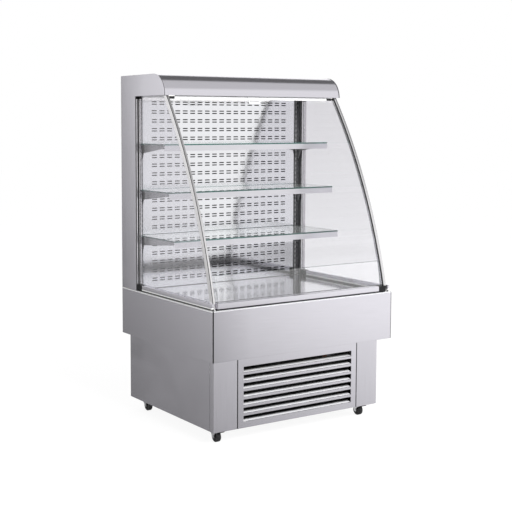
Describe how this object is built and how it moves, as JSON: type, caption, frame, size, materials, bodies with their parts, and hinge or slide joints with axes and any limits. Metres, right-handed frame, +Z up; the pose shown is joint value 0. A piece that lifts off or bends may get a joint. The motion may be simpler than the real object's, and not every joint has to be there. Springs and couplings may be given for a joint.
{
  "type": "refrigerated display case",
  "caption": "Open-front refrigerated display case on swivel casters, with an insulated tub, glass shelves, curved glass sides and a canopy with a pull-down night blind.",
  "frame": {"origin": "on the floor, below the centre of the case", "axes": "+Z up, -Y towards the customer side, +Y towards the flat back, +X to the right seen from the front"},
  "size_m": [1, 0.8, 1.61],
  "materials": {
    "brushed_steel": "brushed",
    "back_steel": "satin sheet",
    "inner_steel": "bright rolled",
    "galvanised_steel": "galvanised, spangled",
    "fork_zinc": "bright zinc plated",
    "wheel_rubber": "matte with a grey hub",
    "black_plastic": "fine textured",
    "fan_plastic": "moulded",
    "switch_plastic": "gloss",
    "black_paint": "semi-gloss",
    "fin_aluminium": "thin fins",
    "copper": "drawn tube",
    "foam": "foamed",
    "upright_paint": "satin",
    "white_paint": "satin",
    "white_plastic": "smooth",
    "lamp_cover": "opal",
    "roller_aluminium": "extruded",
    "bar_aluminium": "white powder coat",
    "blind_fabric": "woven film",
    "pane_glass": "clear",
    "shelf_glass": "clear with green edge",
    "bracket_steel": "satin"
  },
  "bodies": {
    "case": {"base_pan": "galvanised_steel", "base_side_panels": "brushed_steel", "base_posts": "brushed_steel", "front_grille": "brushed_steel", "rear_vent_panel": "back_steel", "compressor": "black_paint", "condenser_coil": "fin_aluminium", "condenser_shroud": "black_paint", "condenser_fan_motor": "black_plastic", "refrigerant_lines": "copper", "control_panel": "black_plastic", "caster_plates": "galvanised_steel", "tub_front_panel": "brushed_steel", "tub_side_panels": "brushed_steel", "tub_insulation": "foam", "tub_liner": "inner_steel", "evaporator_coil": "fin_aluminium", "evaporator_fan_plate": "galvanised_steel", "deck_plates": "inner_steel", "return_grille": "inner_steel", "front_rail": "inner_steel", "side_rails": "inner_steel", "rail_end_caps": "black_plastic", "front_glass": "pane_glass", "side_panel_left": "brushed_steel", "side_panel_right": "brushed_steel", "back_outer_sheet": "back_steel", "back_insulation": "foam", "inner_back_panel": "inner_steel", "shelf_uprights": "upright_paint", "canopy_cover": "brushed_steel", "canopy_ceiling": "white_paint", "air_honeycomb": "white_plastic", "led_light": "lamp_cover", "blind_brackets": "black_plastic", "side_glass": "pane_glass", "glass_posts": "brushed_steel", "shelf_glass_top": "shelf_glass", "shelf_glass_middle": "shelf_glass", "shelf_glass_bottom": "shelf_glass", "shelf_brackets": "bracket_steel", "ticket_strips": "white_plastic"},
    "fork_fl": {"caster_fork_fl": "fork_zinc"},
    "wheel_fl": {"caster_wheel_fl": "wheel_rubber"},
    "fork_fr": {"caster_fork_fr": "fork_zinc"},
    "wheel_fr": {"caster_wheel_fr": "wheel_rubber"},
    "fork_rl": {"caster_fork_rl": "fork_zinc"},
    "wheel_rl": {"caster_wheel_rl": "wheel_rubber"},
    "fork_rr": {"caster_fork_rr": "fork_zinc"},
    "wheel_rr": {"caster_wheel_rr": "wheel_rubber"},
    "brake_left": {"brake_lever_left": "black_plastic"},
    "brake_right": {"brake_lever_right": "black_plastic"},
    "night_blind": {"blind_bar": "bar_aluminium", "blind_handle": "bar_aluminium", "blind_web": "blind_fabric"},
    "blind_roller": {"blind_roller": "roller_aluminium"},
    "condenser_fan": {"condenser_fan": "fan_plastic"},
    "evaporator_fan_left": {"evaporator_fan_left": "fan_plastic"},
    "evaporator_fan_right": {"evaporator_fan_right": "fan_plastic"},
    "power_switch": {"power_switch": "switch_plastic"}
  },
  "joints": [
    {"name": "swivel_fl", "type": "hinge", "parent": "case", "child": "fork_fl", "pos_m": [-0.404, -0.262, 0.056], "axis": [0, 0, 1], "continuous": true},
    {"name": "roll_fl", "type": "hinge", "parent": "fork_fl", "child": "wheel_fl", "pos_m": [-0.404, -0.284, 0.025], "axis": [1, 0, 0], "continuous": true},
    {"name": "swivel_fr", "type": "hinge", "parent": "case", "child": "fork_fr", "pos_m": [0.404, -0.262, 0.056], "axis": [0, 0, 1], "continuous": true},
    {"name": "roll_fr", "type": "hinge", "parent": "fork_fr", "child": "wheel_fr", "pos_m": [0.404, -0.284, 0.025], "axis": [1, 0, 0], "continuous": true},
    {"name": "swivel_rl", "type": "hinge", "parent": "case", "child": "fork_rl", "pos_m": [-0.404, 0.342, 0.056], "axis": [0, 0, 1], "continuous": true},
    {"name": "roll_rl", "type": "hinge", "parent": "fork_rl", "child": "wheel_rl", "pos_m": [-0.404, 0.32, 0.025], "axis": [1, 0, 0], "continuous": true},
    {"name": "swivel_rr", "type": "hinge", "parent": "case", "child": "fork_rr", "pos_m": [0.404, 0.342, 0.056], "axis": [0, 0, 1], "continuous": true},
    {"name": "roll_rr", "type": "hinge", "parent": "fork_rr", "child": "wheel_rr", "pos_m": [0.404, 0.32, 0.025], "axis": [1, 0, 0], "continuous": true},
    {"name": "brake_left_tilt", "type": "hinge", "parent": "fork_fl", "child": "brake_left", "pos_m": [-0.404, -0.304, 0.0496], "axis": [1, 0, 0], "range_deg": [0, 15]},
    {"name": "brake_right_tilt", "type": "hinge", "parent": "fork_fr", "child": "brake_right", "pos_m": [0.404, -0.304, 0.0496], "axis": [1, 0, 0], "range_deg": [0, 15]},
    {"name": "blind_pull", "type": "slide", "parent": "case", "child": "night_blind", "axis": [0, -0.4525, -0.8918], "range_m": [0, 0.8], "stiffness_N_per_m": 12, "springref_m": -1.75, "deforming": ["blind_web"]},
    {"name": "blind_roller_turn", "type": "hinge", "parent": "case", "child": "blind_roller", "pos_m": [0, 0.0423, 1.548], "axis": [1, 0, 0], "range_deg": [0, 2547]},
    {"name": "condenser_fan_spin", "type": "hinge", "parent": "case", "child": "condenser_fan", "pos_m": [0, -0.178, 0.1975], "axis": [0, 1, 0], "continuous": true},
    {"name": "evaporator_fan_left_spin", "type": "hinge", "parent": "case", "child": "evaporator_fan_left", "pos_m": [-0.21, -0.185, 0.5129], "axis": [0, 1, 0], "continuous": true},
    {"name": "evaporator_fan_right_spin", "type": "hinge", "parent": "case", "child": "evaporator_fan_right", "pos_m": [0.21, -0.185, 0.5129], "axis": [0, 1, 0], "continuous": true},
    {"name": "power_switch_rock", "type": "hinge", "parent": "case", "child": "power_switch", "pos_m": [-0.25, 0.379, 0.296], "axis": [1, 0, 0], "range_deg": [0, 16]}
  ],
  "couplings": [
    {"joint": "blind_roller_turn", "follows": "blind_pull", "rad_per_m": 55.556}
  ]
}
